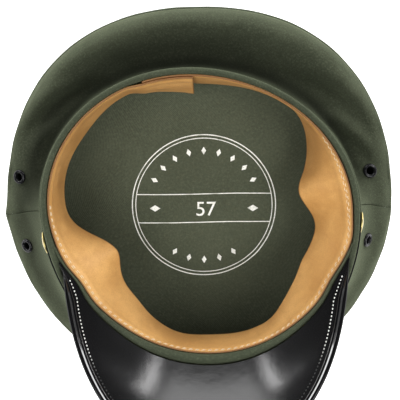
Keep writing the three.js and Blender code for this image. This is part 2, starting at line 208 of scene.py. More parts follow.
def smooth_table(table, x):
    """A smooth curve through the rows (x, y) of a table."""
    xs, ys = table[:, 0], table[:, 1]
    slopes = np.gradient(ys, xs)
    i = np.clip(np.searchsorted(xs, x, side="right") - 1, 0, len(xs) - 2)
    span = xs[i + 1] - xs[i]
    t = np.clip((x - xs[i]) / span, 0, 1)
    return (
        ys[i] * (2 * t**3 - 3 * t**2 + 1)
        + slopes[i] * span * (t**3 - 2 * t**2 + t)
        + ys[i + 1] * (3 * t**2 - 2 * t**3)
        + slopes[i + 1] * span * (t**3 - t**2)
    )


def waves(x, y, size, count, seed):
    """Seeded gentle unevenness, between about -1 and 1, with features of the given size."""
    rng = np.random.default_rng(seed)
    total = np.zeros(np.broadcast(x, y).shape)
    for _ in range(count):
        turn, phase = rng.uniform(0, 2 * math.pi, 2)
        step = rng.uniform(0.7, 1.5) / size
        across = x * math.cos(turn) + y * math.sin(turn)
        total = total + np.sin(across * step * 2 * math.pi + phase)
    return total / math.sqrt(count)


# ---- meshes ----

def linked(name, data):
    obj = bpy.data.objects.new(name, data)
    bpy.context.scene.collection.objects.link(obj)
    return obj


def new_object(name, verts, faces, uvs=None):
    """A smooth mesh object from points in mm."""
    mesh = bpy.data.meshes.new(name)
    mesh.from_pydata((np.asarray(verts) * MM).tolist(), [], faces)
    if uvs is not None:
        layer = mesh.uv_layers.new(name="cloth")
        layer.data.foreach_set("uv", np.asarray(uvs, np.float32).ravel())
    mesh.validate()
    mesh.polygons.foreach_set("use_smooth", [True] * len(mesh.polygons))
    return linked(name, mesh)


def outward_facing(verts, faces):
    """True when the faces (a list of equal length index rows) enclose a positive volume."""
    p = verts[np.array(faces)]
    fan = range(1, p.shape[1] - 1)
    return sum((p[:, 0] * np.cross(p[:, k], p[:, k + 1])).sum() for k in fan) > 0


def loft(name, sections, ring=False, sharp=None):
    """Joins closed sections, an array (n, m, 3), into one closed body with UVs in millimetres.
    An open run is closed by a ladder, so a section runs along one face and back along the other."""
    n, m, _ = sections.shape
    verts = sections.reshape(-1, 3)
    following = np.roll(sections, -1, axis=0)
    along = np.linalg.norm(following - sections, axis=2).mean(axis=1)
    u = np.concatenate([[0], np.cumsum(along)])
    round_ = np.linalg.norm(np.roll(sections, -1, axis=1) - sections, axis=2).mean(axis=0)
    v = np.concatenate([[0], np.cumsum(round_)])
    runs = n if ring else n - 1
    i, j = grid(np.arange(runs), np.arange(m))
    a, b, k = i * m, ((i + 1) % n) * m, (j + 1) % m
    faces = np.stack([a + j, b + j, b + k, a + k], axis=-1).reshape(-1, 4)
    corners = [u[i], v[j], u[i + 1], v[j], u[i + 1], v[j + 1], u[i], v[j + 1]]
    uvs = np.stack(corners, axis=-1).reshape(-1, 4, 2)
    if not ring:
        last = (n - 1) * m
        for j in range(m // 2 - 1):
            o = m - 1 - j
            for base, order in ((0, (j, j + 1, o - 1, o)), (last, (o, o - 1, j + 1, j))):
                faces = np.vstack([faces, [[base + q for q in order]]])
                uvs = np.vstack([uvs, [[(0, v[j]), (0, v[j + 1]), (1, v[j + 1]), (1, v[j])]]])
    if not outward_facing(verts, faces):
        faces, uvs = faces[:, ::-1], uvs[:, ::-1]
    obj = new_object(name, verts, faces.tolist(), uvs.reshape(-1, 2))
    if sharp:
        obj.data.set_sharp_from_angle(angle=math.radians(sharp))
    return obj


def weld(obj):
    """Joins points that lie on each other, such as those at the pole of a turned body."""
    bm = bmesh.new()
    bm.from_mesh(obj.data)
    bmesh.ops.remove_doubles(bm, verts=bm.verts, dist=WELD_DISTANCE)
    bmesh.ops.dissolve_degenerate(bm, dist=WELD_DISTANCE, edges=bm.edges)
    bm.to_mesh(obj.data)
    bm.free()
    return obj


def grid_normals(p, ring=False):
    if ring:
        du = np.roll(p, -1, axis=0) - np.roll(p, 1, axis=0)
    else:
        du = np.gradient(p, axis=0)
    return unit(np.cross(du, np.gradient(p, axis=1)))


def skin(face, back):
    """Closed sections of a thin piece from its two faces, with both long edges rounded."""
    half = np.linalg.norm(face - back, axis=2, keepdims=True) / 2

    def nose(edge, before):
        out = unit(face[:, edge] - face[:, before]) * half[:, edge] * 0.7
        return ((face[:, edge] + back[:, edge]) / 2 + out)[:, None]

    return np.concatenate([face, nose(-1, -2), back[:, ::-1], nose(0, 1)], axis=1)


def revolved(rows, turns):
    """Points (turn, row) of (radius, height) rows swung round the Z axis."""
    radius, height = rows[None, :, 0], rows[None, :, 1]
    return stack(radius * cosd(turns)[:, None], radius * sind(turns)[:, None], height)


def lathe(name, profile, place, segments=48):
    """A body of revolution from (radius, height) rows, placed by a 4x4 matrix in millimetres."""
    turns = turns_of(segments)
    rows = np.array(profile, float)
    sections = revolved(rows, turns)
    flat = sections.reshape(-1, 3) @ place[:3, :3].T + place[:3, 3]
    return weld(loft(name, flat.reshape(sections.shape), ring=True))


def placed_on(point, normal):
    """A 4x4 matrix, in millimetres, whose Z axis is the normal at a point."""
    z = unit(np.asarray(normal, float))
    x = unit(np.cross([0, 1, 0.2], z))
    m = np.eye(4)
    m[:3, 0], m[:3, 1], m[:3, 2], m[:3, 3] = x, np.cross(z, x), z, point
    return m


def thread_row(name, points, normals, length, width, gap, lift=0.0):
    """A row of stitches: small bent cords that dive into the surface at both ends."""
    seg = np.linalg.norm(np.diff(points, axis=0), axis=1)
    run = np.concatenate([[0], np.cumsum(seg)])
    pitch = length + gap
    rings, sides = 5, 6
    stations = np.linspace(-0.5, 0.5, rings) * length
    turn = np.arange(sides) * 2 * math.pi / sides
    taper = np.array([0.45, 0.9, 1.0, 0.9, 0.45])
    height = np.array([-0.75, 0.05, 0.35, 0.05, -0.75]) * width
    verts, faces = [], []

    def at(where, rows):
        return np.stack([np.interp(where, run, rows[:, k]) for k in range(3)])

    for c in np.arange(pitch / 2, run[-1] - pitch / 2, pitch):
        base = len(verts)
        along = unit(at(c + 0.2, points) - at(c, points))
        up = at(c, normals)
        up = unit(up - along * np.dot(up, along))
        side = np.cross(up, along)
        for s, t, h in zip(stations, taper, height):
            q = at(c + s, points)
            for w in turn:
                out, over = math.cos(w) * width / 2 * t, math.sin(w) * width / 2 * t
                verts.append(q + up * (lift + h + over) + side * out)
        for i in range(rings - 1):
            for j in range(sides):
                a, b = base + i * sides, base + (i + 1) * sides
                k = (j + 1) % sides
                faces.append((a + j, a + k, b + k, b + j))
        faces.append(tuple(base + j for j in range(sides))[::-1])
        faces.append(tuple(base + (rings - 1) * sides + j for j in range(sides)))
    return new_object(name, np.array(verts), faces)


# ---- materials ----

class Nodes:
    """A short way to write a node tree."""

    def __init__(self, name):
        self.material = bpy.data.materials.new(name)
        self.material.use_nodes = True
        self.tree = self.material.node_tree
        self.tree.nodes.clear()
        self.out = self.add("ShaderNodeOutputMaterial")
        self.obj = self.place("Object")

    def add(self, kind, inputs=None, **settings):
        node = self.tree.nodes.new(kind)
        for key, value in settings.items():
            setattr(node, key, value)
        for key, value in (inputs or {}).items():
            socket = node.inputs[key.replace("_", " ") if isinstance(key, str) else key]
            if isinstance(value, bpy.types.NodeSocket):
                self.tree.links.new(value, socket)
            else:
                socket.default_value = value
        return node

    def math(self, operation, *values):
        return self.add("ShaderNodeMath", dict(enumerate(values)), operation=operation).outputs[0]

    def mixed(self, factor, a, b):
        return self.add("ShaderNodeMix", {0: factor, 6: a, 7: b}, data_type="RGBA").outputs[2]

    def times_plus(self, value, gain, base):
        return self.math("MULTIPLY_ADD", value, gain, base)

    def stained(self, colour, mask, amount, stain):
        """The colour with some of a stain where the mask is bright."""
        return self.mixed(self.math("MULTIPLY", mask, amount), colour, stain)

    def attribute(self, name):
        return self.add("ShaderNodeAttribute", attribute_name=name).outputs["Fac"]

    def noise(self, scale, detail, rough=0.5, vector=None):
        inputs = {"Scale": scale, "Detail": detail, "Roughness": rough}
        inputs["Vector"] = self.obj if vector is None else vector
        return self.add("ShaderNodeTexNoise", inputs).outputs[0]

    def cells(self, scale, feature):
        inputs = {"Vector": self.obj, "Scale": scale}
        return self.add("ShaderNodeTexVoronoi", inputs, feature=feature).outputs[0]

    def ribs(self, vector, spacing_mm, **inputs):
        """Slanted soft ribs; the texture turns by 10 x Scale radians for each mm of the UVs."""
        inputs |= {"Vector": vector, "Scale": 2 * math.pi / (10 * spacing_mm)}
        return self.add(
            "ShaderNodeTexWave", inputs,
            wave_type="BANDS", bands_direction="DIAGONAL", wave_profile="SIN",
        ).outputs[1]

    def ramp(self, value, low, high):
        node = self.add("ShaderNodeMapRange", {"Value": value, "From Min": low, "From Max": high})
        node.interpolation_type = "SMOOTHSTEP"
        return node.outputs[0]

    def place(self, kind):
        return self.add("ShaderNodeTexCoord").outputs[kind]

    def scaled(self, vector, x, y, z):
        return self.add("ShaderNodeMapping", {"Vector": vector, "Scale": (x, y, z)}).outputs[0]

    def bumps(self, *layers):
        """The normal over layers of (height, strength, distance in metres)."""
        inputs = {}
        for height, strength, distance in layers:
            inputs |= {"Height": height, "Strength": strength, "Distance": distance}
            inputs["Normal"] = self.add("ShaderNodeBump", inputs).outputs[0]
        return inputs["Normal"]

    def finish(self, **inputs):
        shader = self.add("ShaderNodeBsdfPrincipled", inputs)
        self.tree.links.new(shader.outputs[0], self.out.inputs[0])
        return self.material


def rgb(r, g, b):
    return (r, g, b, 1.0)


def times(colour, gain):
    return rgb(*(c * gain for c in colour[:3]))


def cloth_material(
    name, light, dark, twill_mm, sheen, depth=0.00006, with_painted_shade=False, fleck_scale=800, fleck_gain=1.3
):
    """Fine twill: slanted ribs with yarns across them, flecked fibres and broad faint mottling.
    When asked for, painted shade is added: the cloth is darkened towards black
    by the tone number that its mesh carries."""
    n = Nodes(name)
    uv = n.place("UV")
    rib = n.ribs(uv, twill_mm, Distortion=0.6, Detail=2.0, Detail_Scale=3.0)
    yarn = n.ribs(n.scaled(uv, 1, -1, 1), twill_mm * 0.6, Distortion=1.0, Detail=1.0)
    weave = n.times_plus(rib, 0.65, n.math("MULTIPLY", yarn, 0.35))
    fibre = n.noise(2600, 3.0, 0.7)
    fleck = n.noise(fleck_scale, 3.0, 0.75)
    broad = n.noise(22, 3.0, 0.55)
    tone = n.times_plus(weave, 0.3, n.math("MULTIPLY", fibre, 0.25))
    tone = n.times_plus(broad, 0.25, tone)
    tone = n.times_plus(fleck, 0.45, tone)
    colour = n.mixed(n.ramp(tone, 0.42, 0.8), dark, light)
    colour = n.mixed(n.ramp(fleck, 0.5, 0.75), colour, times(light, fleck_gain))
    # painted shade: the colour mixes towards black where the mesh's tone number is low
    if with_painted_shade:
        colour = n.mixed(n.attribute("tone"), rgb(0, 0, 0), colour)
    normal = n.bumps(
        (weave, 0.5, depth), (fibre, 0.35, depth), (fleck, 0.5, 3 * depth),
        (n.noise(60, 3.0), 0.25, 0.0008),
    )
    return n.finish(
        Base_Color=colour, Roughness=0.95, Specular_IOR_Level=0.12, Normal=normal,
        Sheen_Weight=sheen, Sheen_Roughness=0.5, Sheen_Tint=rgb(0.5, 0.58, 0.36),
    )


def leather_material(name):
    """Natural tan leather: pores and grain, cloudy stains, fine creases and dark cut edges."""
    n = Nodes(name)
    pores = n.cells(1500, "F1")
    crease = n.cells(420, "DISTANCE_TO_EDGE")
    cloud = n.noise(30, 4.0, 0.6)
    streak = n.noise(140, 4.0, 0.6, n.scaled(n.obj, 1, 1, 0.25))
    grain = n.noise(1100, 4.0, 0.75)
    base = n.mixed(n.ramp(cloud, 0.3, 0.72), rgb(0.54, 0.286, 0.088), rgb(0.73, 0.425, 0.150))
    base = n.stained(base, n.ramp(streak, 0.45, 0.75), 0.35, rgb(0.44, 0.215, 0.065))
    base = n.stained(base, n.ramp(grain, 0.42, 0.62), 0.28, rgb(0.40, 0.20, 0.062))
    base = n.stained(base, n.attribute("edge"), 0.9, rgb(0.15, 0.06, 0.018))
    normal = n.bumps(
        (pores, 0.25, 0.00012), (crease, 0.12, 0.00015), (streak, 0.3, 0.0007),
        (grain, 0.3, 0.0002),
    )
    rough = n.times_plus(cloud, 0.2, 0.38)
    return n.finish(Base_Color=base, Roughness=rough, Specular_IOR_Level=0.4, Normal=normal)


def patent_material(name, rough, wave_mm, grey, coat=1.0, dull_rim=False):
    """Black patent leather: a clear coat over black, with the slight ripple of the skin below.
    A dull rim loses its coat where it turns away, so that no white line runs round it."""
    n = Nodes(name)
    smear = n.noise(45, 4.0, 0.6)
    ripple = n.noise(160, 3.0, 0.55)
    dust = n.noise(3200, 1.0, 0.5)
    colour = n.mixed(n.ramp(dust, 0.66, 0.8), rgb(grey, grey, grey * 1.08), rgb(0.02, 0.02, 0.02))
    normal = n.bumps((ripple, 0.35, wave_mm * MM))
    rough_value = n.times_plus(smear, 0.2, rough + 0.2)
    if dull_rim:
        facing = n.add("ShaderNodeLayerWeight", {"Blend": 0.5}).outputs["Facing"]
        coat = n.times_plus(n.ramp(facing, 0.35, 0.8), -0.85 * coat, coat)
    return n.finish(
        Base_Color=colour, Roughness=rough_value, Normal=normal, Specular_IOR_Level=0.0,
        Coat_Weight=coat, Coat_Roughness=rough, Coat_Normal=normal,
    )


def metal_material(name, colour, worn, rough, metallic=1.0, specular=0.5):
    """Metal, or enamel on metal, with worn clouds and fine scratches."""
    n = Nodes(name)
    cloud = n.noise(260, 4.0, 0.6)
    scratch = n.noise(900, 3.0, 0.6, n.scaled(n.obj, 1, 9, 1))
    base = n.mixed(n.ramp(cloud, 0.42, 0.75), colour, worn)
    rough_value = n.times_plus(scratch, 0.18, rough)
    normal = n.bumps((scratch, 0.12, 0.00004))
    return n.finish(
        Base_Color=base, Metallic=metallic, Roughness=rough_value, Specular_IOR_Level=specular,
        Normal=normal,
    )


def thread_material(name, light, fade=None):
    """Twisted sewing thread; fade=(dark, far, near) darkens it from near to far along Y."""
    n = Nodes(name)
    fibre = n.noise(4200, 2.0, 0.6)
    colour = n.mixed(n.ramp(fibre, 0.35, 0.7), times(light, 0.8), light)
    if fade:
        dark, far, near = fade
        y = n.add("ShaderNodeSeparateXYZ", {0: n.obj}).outputs[1]
        colour = n.mixed(n.ramp(y, far, near), dark, colour)
    return n.finish(Base_Color=colour, Roughness=0.6, Normal=n.bumps((fibre, 0.4, 0.00008)))


def print_material(name):
    """White ink pressed into cloth: the weave shows through it a little."""
    n = Nodes(name)
    worn = n.ramp(n.noise(1400, 3.0, 0.6), 0.25, 0.5)
    patchy = n.ramp(n.noise(120, 2.0, 0.5), 0.2, 0.5)
    colour = n.mixed(n.math("MULTIPLY", worn, patchy), rgb(0.42, 0.44, 0.38), rgb(0.84, 0.85, 0.80))
    return n.finish(Base_Color=colour, Roughness=0.8, Specular_IOR_Level=0.2)


EDGE_GREENS = rgb(0.052, 0.061, 0.038), rgb(0.024, 0.029, 0.018)
# The crown's cloth, darkened by painted shade that its mesh carries.
GREEN = cloth_material(
    "olive_twill", rgb(0.048, 0.055, 0.034), rgb(0.020, 0.024, 0.014), 0.75, 0.35, with_painted_shade=True
)
GREEN_EDGE = cloth_material("olive_twill_edge", *EDGE_GREENS, 0.6, 0.3)
# The band's cloth: the edge cloth again, darkened by painted shade that its mesh carries.
GREEN_BAND_PAINTED_SHADE = cloth_material("olive_twill_band_painted_shade", *EDGE_GREENS, 0.6, 0.3, with_painted_shade=True)
LINING = cloth_material(
    "lining_sateen", rgb(0.080, 0.091, 0.060), rgb(0.044, 0.051, 0.033), 1.25, 0.12, 0.00004,
    fleck_scale=600, fleck_gain=1.05,
)
LEATHER = leather_material("tan_leather")
PATENT_PEAK = patent_material("patent_peak", 0.16, 0.13, 0.003)
PATENT_EDGE = patent_material("patent_edge", 0.06, 0.12, 0.003, 0.75, dull_rim=True)
PATENT_STRAP = patent_material("patent_strap", 0.3, 0.12, 0.006, 0.08)
BRASS = metal_material("brass", rgb(0.52, 0.43, 0.17), rgb(0.36, 0.28, 0.10), 0.22)
ENAMEL = metal_material(
    "black_enamel", rgb(0.006, 0.006, 0.007), rgb(0.012, 0.012, 0.012), 0.05, 0.0, 0.22
)
CREAM_THREAD = thread_material("cream_thread", rgb(0.86, 0.72, 0.50))
PEAK_THREAD = thread_material(
    "peak_thread", rgb(0.78, 0.78, 0.74),
    (rgb(0.02, 0.02, 0.02), (SHIFT - 93) * MM, (SHIFT - 76) * MM),
)
INK = print_material("lining_ink")


def note(obj, name, values):
    """Stores a number at each point of a mesh, for its material to read."""
    layer = obj.data.attributes.new(name, "FLOAT", "POINT")
    layer.data.foreach_set("value", values.astype(np.float32).ravel())


def dress(obj, material, slot, *nodes):
    """Gives a piece its material, hangs it under the root body and hides the CAD nodes it stands
    for.
    The slot is not used.
    """
    obj.data.materials.clear()
    obj.data.materials.append(material)
    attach(obj, "root")
    if nodes:
        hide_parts(*nodes)
    return obj


# ---- crown: quarters, piping and flat top ----

def seam_ring(a):
    return at_opening(a, band_radius(a, SEAM_HEIGHT), SEAM_HEIGHT)


# the cloth at the back sinks beside the band, then rises to a soft roll: (across, mm above the rim)
BACK_ROLL = np.array([
    (0, 13.1), (0.03, 8.6), (0.07, 5.4), (0.12, 4.4), (0.22, 4.8), (0.36, 6.3), (0.5, 8.5),
    (0.64, 10.9), (0.75, 12.2), (0.83, 11.4), (0.9, 8.5), (0.95, 5.2), (1, 0),
], float)


def quarter_base(a, across):
    """The crown's underside before its folds: across is 0 at the band and 1 at the rim."""
    seam = seam_ring(a)
    rim = at_crown(a, crown_radius(a) - 1, QUARTER_RIM_Z)
    across = np.asarray(across, float)
    p = mix(seam, rim, across[..., None])
    drop = seam[..., 2] - QUARTER_RIM_Z
    side_z = drop * (1 - across) ** QUARTER_COVE
    side_z = side_z + QUARTER_SHOULDER * np.sin(math.pi * across**2.4)
    back_z = smooth_table(BACK_ROLL, across) + (drop - BACK_ROLL[0, 1]) * (1 - across) ** 6
    crevice = np.exp(-((across / 0.035) ** 1.2)) - np.exp(-((across / 0.30) ** 1.6))
    behind = window(sind(a), -0.04, 0.2, 0.45, 0.85)
    side_z = side_z + 0.62 * drop * crevice * behind
    p[..., 2] = QUARTER_RIM_Z + mix(side_z, back_z, smoothstep(sind(a), 0.3, 0.93))
    return p


# soft folds of the crown cloth: the (angle, across) points it runs through, half width, height
CLOTH_FOLDS = [
    ([(156, 0.72), (146, 0.5), (138, 0.3), (130, 0.15)], 6.0, -4.4),
    ([(158, 0.45), (149, 0.3), (142, 0.2)], 5.0, 2.0),
    ([(148, 0.84), (139, 0.62), (130, 0.45)], 6.5, 2.8),
    ([(58, 0.25), (44, 0.42), (32, 0.62), (23, 0.66)], 6.5, -4.4),
    ([(34, 0.25), (25, 0.42), (18, 0.62)], 5.5, 3.2),
    ([(28, 0.12), (20, 0.32), (14, 0.52)], 5.0, -2.8),
    ([(54, 0.62), (42, 0.74), (30, 0.86)], 6.5, 2.0),
    ([(205, 0.15), (214, 0.4), (222, 0.7)], 9.0, -1.4),
    ([(335, 0.2), (326, 0.45), (318, 0.7)], 9.0, -1.4),
    ([(90, 0.3), (76, 0.26), (64, 0.2)], 6.0, -1.5),
    ([(104, 0.28), (116, 0.24), (126, 0.16)], 6.0, -1.2),
]


def distance_to_path(x, y, path):
    """Distance from points to a line of plan points, and how far along it the nearest one is."""
    best = np.full(x.shape, 1e9)
    part = np.zeros(x.shape)
    lengths = np.linalg.norm(np.diff(path, axis=0), axis=1)
    starts = np.concatenate([[0], np.cumsum(lengths)])
    for i in range(len(path) - 1):
        d = path[i + 1] - path[i]
        t = np.clip(((x - path[i, 0]) * d[0] + (y - path[i, 1]) * d[1]) / np.dot(d, d), 0, 1)
        dist = np.hypot(x - path[i, 0] - t * d[0], y - path[i, 1] - t * d[1])
        closer = dist < best
        best = np.where(closer, dist, best)
        part = np.where(closer, (starts[i] + t * lengths[i]) / starts[-1], part)
    return best, part


def quarter_surface(a, across):
    """The crown's underside with its folds, its seams and the dents round the eyelets."""
    p = quarter_base(a, across)
    x, y = p[..., 0], p[..., 1]
    lift = np.zeros(x.shape)
    for points, width, height in CLOTH_FOLDS:
        path = quarter_base(*np.array(points, float).T)[:, :2]
        dist, part = distance_to_path(x, y, path)
        taper = np.sin(math.pi * np.clip(0.12 + 0.76 * part, 0, 1)) ** 0.8
        lift += height * taper * bell(dist, width)
    lift += 0.55 * waves(x, y, 34, 7, SEED) + 0.2 * waves(x, y, 13, 7, SEED + 1)
    # the cloth dips into the side seams and is drawn in a little round each eyelet
    turned = (a + SEAM_TURN) % 360
    from_seam = np.minimum(turned, 360 - turned)
    from_seam = np.minimum(from_seam, np.abs(turned - 180 - 2 * SEAM_TURN)) * math.pi / 180
    lift -= 0.9 * bell(from_seam * np.hypot(x, y - SHIFT), 2.2)
    for angle, where in EYELETS.values():
        q = quarter_base(np.array([angle], float), np.array([where]))[0]
        lift -= 0.5 * bell(np.hypot(x - q[0], y - q[1]), 9)
    # both edges stay where they are sewn
    hold = window(across, 0.0, 0.12, 0.93, 1.0)
    p[..., 2] += lift * hold
    return p


def painted_cloth_shade(a, across):
    """Painted shade for the crown cloth, as a number its material reads: 1 on open cloth,
    less in the crevice beside the band at the back and the sides, a little along the band seam,
    midway across the cloth at the back (most on the left half), and on the left side from the
    band out to about half way to the rim.
    """
    valley = bell(across - 0.10, 0.17) * smoothstep(sind(a), -0.15, 0.62)
    seam = 0.5 * bell(across, 0.06)
    middle = bell(across - 0.40, 0.22) * smoothstep(sind(a), -0.1, 0.4)
    middle = middle * (mix(0.1, 0.42, smoothstep(a, 55, 95)) + 0.2 * smoothstep(a, 128, 150))
    tone = 1 - 0.72 * valley - 0.3 * seam * (1 - valley) - middle * (1 - valley)
    left = window(a, 160, 176, 198, 222)
    return tone * (1 - 0.5 * left * (1 - smoothstep(across, 0.45, 1.0)))


def quarter(name, start, end, node):
    across = np.concatenate([np.linspace(0, 0.9, 40), np.linspace(0.92, 1, 7)])
    # the seam is a thin gap, in degrees, which closes near the rim
    gap = 0.09 - 0.08 * smoothstep(across, 0.62, 0.78)
    a = start + gap + np.linspace(0, 1, 260)[:, None] * (end - start - 2 * gap)
    u = np.broadcast_to(across, a.shape)
    face = quarter_surface(a, u)
    normal = grid_normals(face)
    if normal[..., 2].mean() < 0:
        normal = -normal
    obj = loft(name, skin(face, face - normal * QUARTER_THICK))
    # painted shade for every point of the skin: both faces and both rounded edges
    tone = painted_cloth_shade(a, u)
    note(obj, "tone", np.concatenate([tone, tone[:, -1:], tone[:, ::-1], tone[:, :1]], axis=1))
    # the eyelets' holes go right through
    hole = [(0, -6), (EYELET_HOLE, -6), (EYELET_HOLE, 6), (0, 6)]
    for angle, where in EYELETS.values():
        if not start < angle < end:
            continue
        cutter = lathe("cutter", hole, placed_on(*surface_point(angle, where)), 32)
        mod = obj.modifiers.new("hole", "BOOLEAN")
        mod.object, mod.operation, mod.solver = cutter, "DIFFERENCE", "EXACT"
        bpy.context.view_layer.objects.active = obj
        bpy.ops.object.modifier_apply(modifier=mod.name)
        bpy.data.objects.remove(cutter)
    return dress(obj, GREEN, "cloth", node)


def surface_point(angle, across):
    """A point on the crown cloth, and its outward normal."""
    near = np.array([-1, 0, 1])
    a, u = grid(angle + 0.6 * near, across + 0.03 * near)
    p = quarter_surface(a, u)
    n = grid_normals(p)[1, 1]
    return p[1, 1], n if n[2] > 0 else -n


quarter("crown_cloth_back", -SEAM_TURN, 180 + SEAM_TURN, "quarter_back")
quarter("crown_cloth_front", 180 + SEAM_TURN, 360 - SEAM_TURN, "quarter_front")


def ring_tube(name, centre, radius, count, sides, wobble, node):
    """A thin cloth roll round the cap, along the ring of points that centre gives."""
    a, t = grid(turns_of(count), turns_of(sides))
    r = radius * (1 + wobble * waves(a * 2.2, 0.0, 26, 6, SEED + 3))
    p = centre(a)
    p[..., 0] += r * cosd(t) * cosd(a)
    p[..., 1] += r * cosd(t) * sind(a)
    p[..., 2] += r * sind(t)
    return dress(loft(name, p, ring=True), GREEN_EDGE, "cloth", node)


WELT_HEIGHT = -46.2
ring_tube(
    "rim_piping", lambda a: at_crown(a, crown_radius(a) - 2.0, 2.3),
    1.95, 420, 14, 0.05, "crown_piping",
)
ring_tube(
    "seam_welt", lambda a: at_opening(a, band_radius(a, WELT_HEIGHT) + 0.35, WELT_HEIGHT),
    1.1, 360, 10, 0.04, "band_welt",
)


def crown_disc():
    # part of the radius, and height
    rows = np.array([
        (0, 1.9), (0.35, 1.9), (0.7, 1.9), (0.95, 1.9), (0.992, 1.8), (1, 1.4), (1, 0.5),
        (0.992, 0.1), (0.95, 0), (0.7, 0), (0.35, 0), (0, 0),
    ])
    a, k = grid(turns_of(240), np.arange(len(rows)))
    part, z = np.moveaxis(rows[k], 2, 0)
    p = at_crown(a, (crown_radius(a) - CROWN_TOP_INSET) * part, z)
    return dress(weld(loft("crown_disc", p, ring=True)), GREEN_EDGE, "cloth", "crown_top")


crown_disc()

# ---- band and the padded roll at the front ----

ROLL_ENDS = (194.5, 345.5)
PEAK_SLOT = 2.9  # thickness of the band's edge over the peak
FIT_GAP = 0.12


def roll_outer(a):
    return np.minimum(roll_radius(a), band_radius(a, 0) - PEAK_SLOT - 0.15)


def band_wall(a):
    """Thickness of the band's edge: it fills the room beside the leather, or beside the roll at the
    front, and leaves a slot for the peak between the horns."""
    a = np.asarray(a, float)
    roll = window(a % 360, 194, 199, 341, 346)
    slot = window(a % 360, 200.2, 204, 336.4, 340.2)
    beside_leather = band_radius(a, 0) - leather_radius(a) - FIT_GAP
    beside_roll = band_radius(a, 0) - roll_outer(a) - FIT_GAP
    return mix(mix(beside_leather, beside_roll, roll), PEAK_SLOT, slot)


def band():
    """Each section runs up the outer face, over the rounded edge and down the inner face."""
    angles = turns_of(480)
    down = [-1.6, -2.6, -4, -8, -14, -20, -26, -32, -38, -42, -44.2, -44.8]
    over = np.linspace(0.25, math.pi - 0.25, 7)
    sections = []
    for w in band_wall(angles):
        sections.append(
            [(0.0, h) for h in down[::-1]]
            + [(w - (w / 2 + w / 2 * math.cos(t)), w / 2.4 * math.sin(t) - 1.6) for t in over]
            + [(w if h > -20 else min(w, 3.2), h) for h in down]
        )
    depth, h = np.moveaxis(np.array(sections), 2, 0)
    a = angles[:, None]
    relief = 0.18 * waves(a * 1.8, h, 16, 6, SEED + 5) * smoothstep(-h, 2, 10)
    p = at_opening(a, band_radius(a, h) - depth + relief * (depth == 0), h)
    obj = loft("band_cloth", p, ring=True)
    # painted shade: the band's cloth darkens below its rounded edge, at the back and sides
    note(obj, "tone", 1 - 0.68 * smoothstep(-h, 1.6, 8) * smoothstep(sind(a), -0.2, 0.25))
    return dress(obj, GREEN_BAND_PAINTED_SHADE, "cloth", "band")


band()


def edge_roll():
    angles = np.linspace(*ROLL_ENDS, 300)
    outer = roll_outer(angles) - 0.35 * smoothstep(-sind(angles), 0.5, 0.9)
    inner = leather_radius(angles) + 0.05
    half = np.maximum((outer - inner) / 2, 0.3)
    a, t = grid(angles, turns_of(16))
    start, end = ROLL_ENDS
    ends = window(a, start, start + 7, end - 7, end)
    tall = mix(1.2, 2.5, ends) * (1 + 0.04 * waves(a * 1.7, 0.0, 15, 6, SEED + 6))
    r = (outer - half)[:, None] + half[:, None] * cosd(t)
    h = tall * sind(t) - 0.9
    obj = dress(loft("front_roll", at_opening(a, r, h)), GREEN_EDGE, "cloth", "edge_roll")


edge_roll()

# ---- lining and its printed size mark ----

LINING_TOP = 6.4
LINING_EDGE = 5.9
LINING_THICK = 0.55
# puckers: from, to, half width, height
LINING_FOLDS = [
    ((30, -42), (52, -60), 4.0, 0.9), ((-70, 20), (-52, 48), 5.0, 0.7),
    ((52, 44), (66, 8), 5.0, 0.8), ((18, -26), (34, -44), 3.0, -0.5),
    ((-20, 62), (6, 70), 5.0, 0.6),
]


def lining_floor(x, y):
    """Height of the lining's flat part: loose cloth with shallow puckers."""
    z = LINING_TOP + 0.28 * waves(x, y, 55, 7, SEED + 8) + 0.10 * waves(x, y, 17, 8, SEED + 9)
    for start, end, width, height in LINING_FOLDS:
        dist, part = distance_to_path(x, y, np.array([start, end], float) + (0, SHIFT))
        z = z + height * bell(dist, width) * np.sin(math.pi * np.clip(part, 0.1, 0.9))
    return z


def lining():
    angles = turns_of(300)
    behind = smoothstep(sind(angles), -0.1, 0.2)[:, None]
    within = at_opening(angles, band_radius(angles, SEAM_HEIGHT) - 5.5, SEAM_HEIGHT)

    def blended(front, height):
        """A ring that follows the quarters at the front and stays inside the band at the back."""
        back = within.copy()
        back[:, 2] = height
        return mix(front, back, behind)

    end = blended(at_crown(angles, crown_radius(angles) - 17, LINING_EDGE), LINING_EDGE)
    rows = 30
    _, u = grid(angles, np.linspace(0, 1, rows))
    centre = at_crown(0.0, 0.0, 0.0)
    floor = centre + (end[:, None] - centre) * u[..., None]
    wavy = lining_floor(floor[..., 0], floor[..., 1])
    floor[..., 2] = mix(LINING_EDGE, wavy, 1 - smoothstep(u, 0.8, 1.0))
    rise = []
    for across, height in ((0.28, 7.2), (0.18, 9.0), (0.08, 12.0)):
        p = quarter_base(angles, np.full(len(angles), across))
        p[:, 2] -= 3.4
        p[:, :2] += (np.array([0, SHIFT]) - p[:, :2]) * 0.012
        rise.append(blended(p, height))
    for h in (-45.5, -42.0, -40.0):
        rise.append(at_opening(angles, band_radius(angles, h) - 3.9, np.full(len(angles), h)))
    p = np.concatenate([floor] + [r[:, None] for r in rise], axis=1)
    # ease the corner between the flat part and the sides
    for _ in range(2):
        before, here, after = p[:, rows - 3:-3], p[:, rows - 2:-2], p[:, rows - 1:-1]
        here[:] = (before + 2 * here + after) / 4
    normal = grid_normals(p, ring=True)
    if normal[:, 5, 2].mean() < 0:
        normal = -normal
    normal[:, 0] = (0, 0, 1)
    back = p - normal * LINING_THICK
    obj = weld(loft("lining_cloth", np.concatenate([p, back[:, ::-1]], axis=1), ring=True))
    return dress(obj, LINING, "lining_cloth", "lining")


lining()

